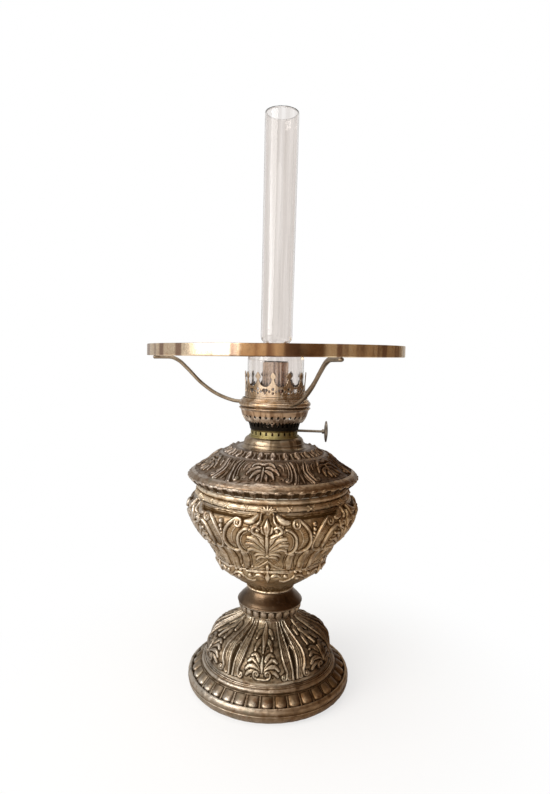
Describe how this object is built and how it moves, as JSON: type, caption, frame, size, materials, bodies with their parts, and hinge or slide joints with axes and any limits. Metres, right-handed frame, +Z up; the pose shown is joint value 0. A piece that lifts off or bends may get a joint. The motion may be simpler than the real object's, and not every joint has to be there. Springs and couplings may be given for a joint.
{
  "type": "oil lamp",
  "caption": "Ornamental table oil lamp with a lobed foot, relief bowl, lift-out font, round-wick burner with turning knob, armed shade ring and tall glass chimney.",
  "frame": {"origin": "middle of the foot's underside, on the surface that it stands on", "axes": "+Z up along the lamp's axis, +X towards the wick knob, -Y the front"},
  "size_m": [0.238, 0.238, 0.5378],
  "materials": {
    "aged_bronze": "aged, dark in the recesses",
    "dark_bronze": "dark patina",
    "yellow_brass": "worn bright",
    "rose_brass": "tarnished",
    "burnt_bronze": "sooted",
    "arm_bronze": "satin",
    "ring_bronze": "polished, tarnished in patches",
    "copper": "bright, heat-coloured",
    "tinned_brass": "tinned",
    "steel": "plain",
    "iron": "as cast",
    "cotton": "woven",
    "clear_glass": "clear"
  },
  "bodies": {
    "stand": {"foot": "aged_bronze", "foot_weight": "iron", "bead_ring": "aged_bronze", "knop": "dark_bronze", "bowl": "aged_bronze", "tie_rod": "steel", "tie_washers": "steel", "tie_nuts": "steel"},
    "font": {"oil_tank": "tinned_brass", "font_cover": "aged_bronze", "font_collar": "aged_bronze"},
    "burner": {"burner_base": "yellow_brass", "spindle_bushes": "yellow_brass", "tube_plate": "yellow_brass", "wick_tube": "copper", "draught_tube": "copper", "air_screen": "burnt_bronze", "burner_basket": "rose_brass", "gallery_crown": "rose_brass"},
    "wick_drive": {"wick_spindle": "aged_bronze", "wick_wheels": "steel", "wick_knob": "dark_bronze"},
    "wick_band": {"wick": "cotton"},
    "shade_holder": {"holder_collar": "rose_brass", "left_arm": "arm_bronze", "front_arm": "arm_bronze", "back_arm": "arm_bronze", "shade_ring": "ring_bronze"},
    "glass": {"chimney": "clear_glass"}
  },
  "joints": [
    {"name": "font_lift", "type": "slide", "parent": "stand", "child": "font", "axis": [0, 0, 1], "range_m": [0, 0.1]},
    {"name": "burner_lift", "type": "slide", "parent": "font", "child": "burner", "axis": [0, 0, 1], "range_m": [0, 0.13]},
    {"name": "wick_turn", "type": "hinge", "parent": "burner", "child": "wick_drive", "pos_m": [0, 0.0157, 0.2432], "axis": [-1, 0, 0], "range_deg": [-100, 70]},
    {"name": "wick_rise", "type": "slide", "parent": "burner", "child": "wick_band", "axis": [0, 0, 1], "range_m": [-0.008, 0.006]},
    {"name": "holder_lift", "type": "slide", "parent": "burner", "child": "shade_holder", "axis": [0, 0, 1], "range_m": [0, 0.27]},
    {"name": "chimney_lift", "type": "slide", "parent": "burner", "child": "glass", "axis": [0, 0, 1], "range_m": [0, 0.06]}
  ],
  "couplings": [
    {"joint": "wick_rise", "follows": "wick_turn", "m_per_rad": 0.004}
  ]
}
